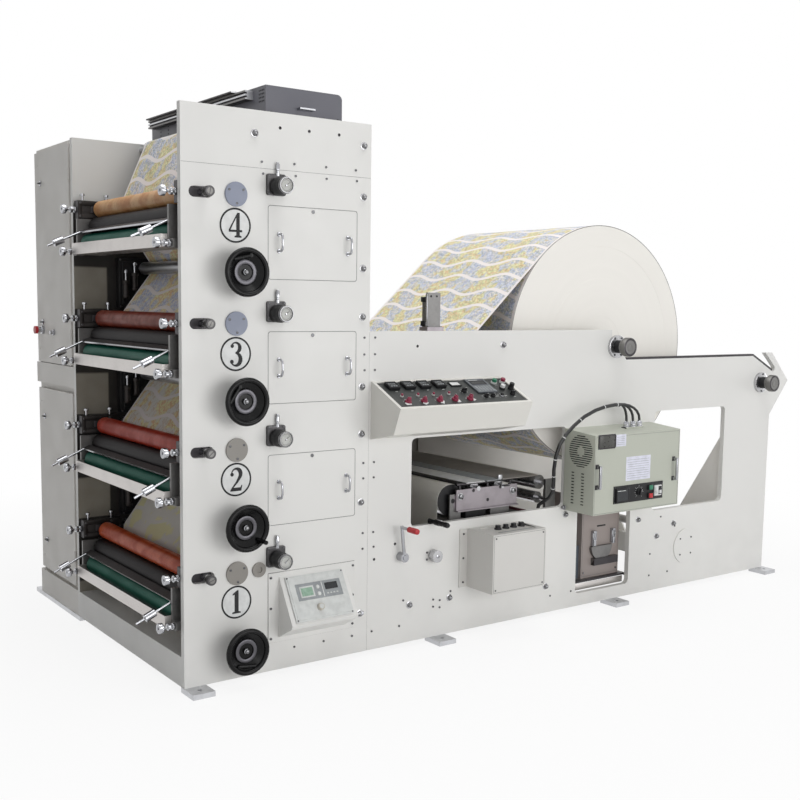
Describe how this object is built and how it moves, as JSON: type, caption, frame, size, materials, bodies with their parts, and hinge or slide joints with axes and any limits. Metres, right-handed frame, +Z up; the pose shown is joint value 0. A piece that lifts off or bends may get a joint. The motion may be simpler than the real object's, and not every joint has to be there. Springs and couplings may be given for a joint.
{
  "type": "flexographic printing press",
  "caption": "Stack flexographic printing press: colour stations in a cream side-plate tower, dryer hood, cabinet, console, treater box and a wound paper roll.",
  "frame": {"origin": "middle of the press's bounding box on the floor", "axes": "+X along the press from the printing tower to the roll arm, -Y towards the operator's side, +Z up"},
  "size_m": [4.2118, 2.182, 2.52],
  "materials": {
    "cream_paint": "smooth satin cream-white enamel",
    "cabinet_paint": "light warm grey powder coat",
    "hood_paint": "dark slate enamel",
    "treater_paint": "pale grey-green hammered enamel",
    "console_paint": "pale grey enamel",
    "bright_steel": "ground and brushed steel",
    "dark_steel": "blued dark steel",
    "stainless": "bright stainless sheet",
    "chrome": "polished chrome",
    "aluminium": "drawn aluminium",
    "cast_grey": "painted grey casting",
    "photopolymer": "orange-brown printing plate on the cylinder",
    "photopolymer_pale": "pale tan printing plate on the cylinder",
    "green_rubber": "dark green roller rubber",
    "black_plastic": "glossy black moulded plastic",
    "red_plastic": "glossy red moulded plastic",
    "cable_black": "black cable sheath",
    "printed_paper": "printed paper web",
    "paper": "wound paper"
  },
  "bodies": {
    "root": {"operator_tower_plate": "cream_paint", "operator_frame_plate": "cream_paint", "drive_tower_plate": "cream_paint", "drive_frame_plate": "cream_paint", "base_frame": "cream_paint", "feet": "cast_grey", "electrical_cabinet": "cabinet_paint", "dryer_hood": "hood_paint", "hood_rail": "aluminium", "ink_trays": "stainless", "doctor_blades": "bright_steel", "roller_brackets": "cast_grey", "adjuster_knobs": "chrome", "impression_cylinders": "bright_steel", "guide_rollers": "aluminium", "paper_web": "printed_paper", "access_doors": "cream_paint", "door_handles": "chrome", "cover_discs": "cast_grey", "register_gauges": "dark_steel", "control_console": "console_paint", "console_controls": "black_plastic", "tension_box": "cream_paint", "treater_box": "treater_paint", "treater_fittings": "chrome", "treater_cables": "cable_black", "control_box": "cream_paint", "window_rollers": "bright_steel", "window_bracket": "cast_grey", "rail_strips": "dark_steel", "sensor_bracket": "cast_grey", "post_gussets": "cream_paint", "chuck_knobs": "dark_steel", "cap_nuts": "chrome", "latch_box": "console_paint"},
    "plate_cylinder_1": {"plate_cylinder_1": "photopolymer"},
    "anilox_roller_1": {"anilox_roller_1": "dark_steel"},
    "fountain_roller_1": {"fountain_roller_1": "green_rubber"},
    "handwheel_1": {"handwheel_1": "black_plastic"},
    "plate_cylinder_2": {"plate_cylinder_2": "photopolymer"},
    "anilox_roller_2": {"anilox_roller_2": "dark_steel"},
    "fountain_roller_2": {"fountain_roller_2": "green_rubber"},
    "handwheel_2": {"handwheel_2": "black_plastic"},
    "plate_cylinder_3": {"plate_cylinder_3": "photopolymer"},
    "anilox_roller_3": {"anilox_roller_3": "dark_steel"},
    "fountain_roller_3": {"fountain_roller_3": "green_rubber"},
    "handwheel_3": {"handwheel_3": "black_plastic"},
    "plate_cylinder_4": {"plate_cylinder_4": "photopolymer_pale"},
    "anilox_roller_4": {"anilox_roller_4": "dark_steel"},
    "fountain_roller_4": {"fountain_roller_4": "green_rubber"},
    "handwheel_4": {"handwheel_4": "black_plastic"},
    "rewind_roll": {"paper_roll": "paper", "roll_shaft": "bright_steel"},
    "cabinet_door_upper": {"cabinet_door_upper": "cabinet_paint", "emergency_stop": "red_plastic"},
    "cabinet_door_lower": {"cabinet_door_lower": "cabinet_paint"},
    "crank_lever": {"crank_lever": "red_plastic"}
  },
  "joints": [
    {"name": "plate_cylinder_1_spin", "type": "hinge", "parent": "root", "child": "plate_cylinder_1", "pos_m": [-1.8431, -0.21, 0.479], "axis": [0, 1, 0], "continuous": true},
    {"name": "anilox_roller_1_spin", "type": "hinge", "parent": "root", "child": "anilox_roller_1", "pos_m": [-1.86299, -0.21, 0.39554], "axis": [0, 1, 0], "continuous": true},
    {"name": "fountain_roller_1_spin", "type": "hinge", "parent": "root", "child": "fountain_roller_1", "pos_m": [-1.90342, -0.21, 0.31479], "axis": [0, 1, 0], "continuous": true},
    {"name": "handwheel_1_spin", "type": "hinge", "parent": "root", "child": "handwheel_1", "pos_m": [-1.7001, -0.844, 0.163], "axis": [0, 1, 0], "continuous": true},
    {"name": "plate_cylinder_2_spin", "type": "hinge", "parent": "root", "child": "plate_cylinder_2", "pos_m": [-1.8431, -0.21, 1.004], "axis": [0, 1, 0], "continuous": true},
    {"name": "anilox_roller_2_spin", "type": "hinge", "parent": "root", "child": "anilox_roller_2", "pos_m": [-1.86299, -0.21, 0.92054], "axis": [0, 1, 0], "continuous": true},
    {"name": "fountain_roller_2_spin", "type": "hinge", "parent": "root", "child": "fountain_roller_2", "pos_m": [-1.90342, -0.21, 0.83979], "axis": [0, 1, 0], "continuous": true},
    {"name": "handwheel_2_spin", "type": "hinge", "parent": "root", "child": "handwheel_2", "pos_m": [-1.7001, -0.844, 0.688], "axis": [0, 1, 0], "continuous": true},
    {"name": "plate_cylinder_3_spin", "type": "hinge", "parent": "root", "child": "plate_cylinder_3", "pos_m": [-1.8431, -0.21, 1.529], "axis": [0, 1, 0], "continuous": true},
    {"name": "anilox_roller_3_spin", "type": "hinge", "parent": "root", "child": "anilox_roller_3", "pos_m": [-1.86299, -0.21, 1.44554], "axis": [0, 1, 0], "continuous": true},
    {"name": "fountain_roller_3_spin", "type": "hinge", "parent": "root", "child": "fountain_roller_3", "pos_m": [-1.90342, -0.21, 1.36479], "axis": [0, 1, 0], "continuous": true},
    {"name": "handwheel_3_spin", "type": "hinge", "parent": "root", "child": "handwheel_3", "pos_m": [-1.7001, -0.844, 1.213], "axis": [0, 1, 0], "continuous": true},
    {"name": "plate_cylinder_4_spin", "type": "hinge", "parent": "root", "child": "plate_cylinder_4", "pos_m": [-1.8431, -0.21, 2.054], "axis": [0, 1, 0], "continuous": true},
    {"name": "anilox_roller_4_spin", "type": "hinge", "parent": "root", "child": "anilox_roller_4", "pos_m": [-1.86299, -0.21, 1.97054], "axis": [0, 1, 0], "continuous": true},
    {"name": "fountain_roller_4_spin", "type": "hinge", "parent": "root", "child": "fountain_roller_4", "pos_m": [-1.90342, -0.21, 1.88979], "axis": [0, 1, 0], "continuous": true},
    {"name": "handwheel_4_spin", "type": "hinge", "parent": "root", "child": "handwheel_4", "pos_m": [-1.7001, -0.844, 1.738], "axis": [0, 1, 0], "continuous": true},
    {"name": "rewind_roll_spin", "type": "hinge", "parent": "root", "child": "rewind_roll", "pos_m": [0.5609, -0.21, 1.405], "axis": [0, 1, 0], "continuous": true},
    {"name": "cabinet_door_upper_swing", "type": "hinge", "parent": "root", "child": "cabinet_door_upper", "pos_m": [-1.9431, 0.45, 1.2], "axis": [0, 0, 1], "range_deg": [0, 90]},
    {"name": "cabinet_door_lower_swing", "type": "hinge", "parent": "root", "child": "cabinet_door_lower", "pos_m": [-1.9431, 0.45, 1.2], "axis": [0, 0, 1], "range_deg": [0, 90]},
    {"name": "crank_lever_turn", "type": "hinge", "parent": "root", "child": "crank_lever", "pos_m": [-0.8481, -0.844, 0.443], "axis": [0, 1, 0], "range_deg": [-60, 60]}
  ],
  "couplings": [
    {"joint": "anilox_roller_1_spin", "follows": "plate_cylinder_1_spin", "ratio": -0.9},
    {"joint": "fountain_roller_1_spin", "follows": "plate_cylinder_1_spin", "ratio": 0.9},
    {"joint": "anilox_roller_2_spin", "follows": "plate_cylinder_2_spin", "ratio": -0.9},
    {"joint": "fountain_roller_2_spin", "follows": "plate_cylinder_2_spin", "ratio": 0.9},
    {"joint": "anilox_roller_3_spin", "follows": "plate_cylinder_3_spin", "ratio": -0.9},
    {"joint": "fountain_roller_3_spin", "follows": "plate_cylinder_3_spin", "ratio": 0.9},
    {"joint": "anilox_roller_4_spin", "follows": "plate_cylinder_4_spin", "ratio": -0.9},
    {"joint": "fountain_roller_4_spin", "follows": "plate_cylinder_4_spin", "ratio": 0.9}
  ]
}
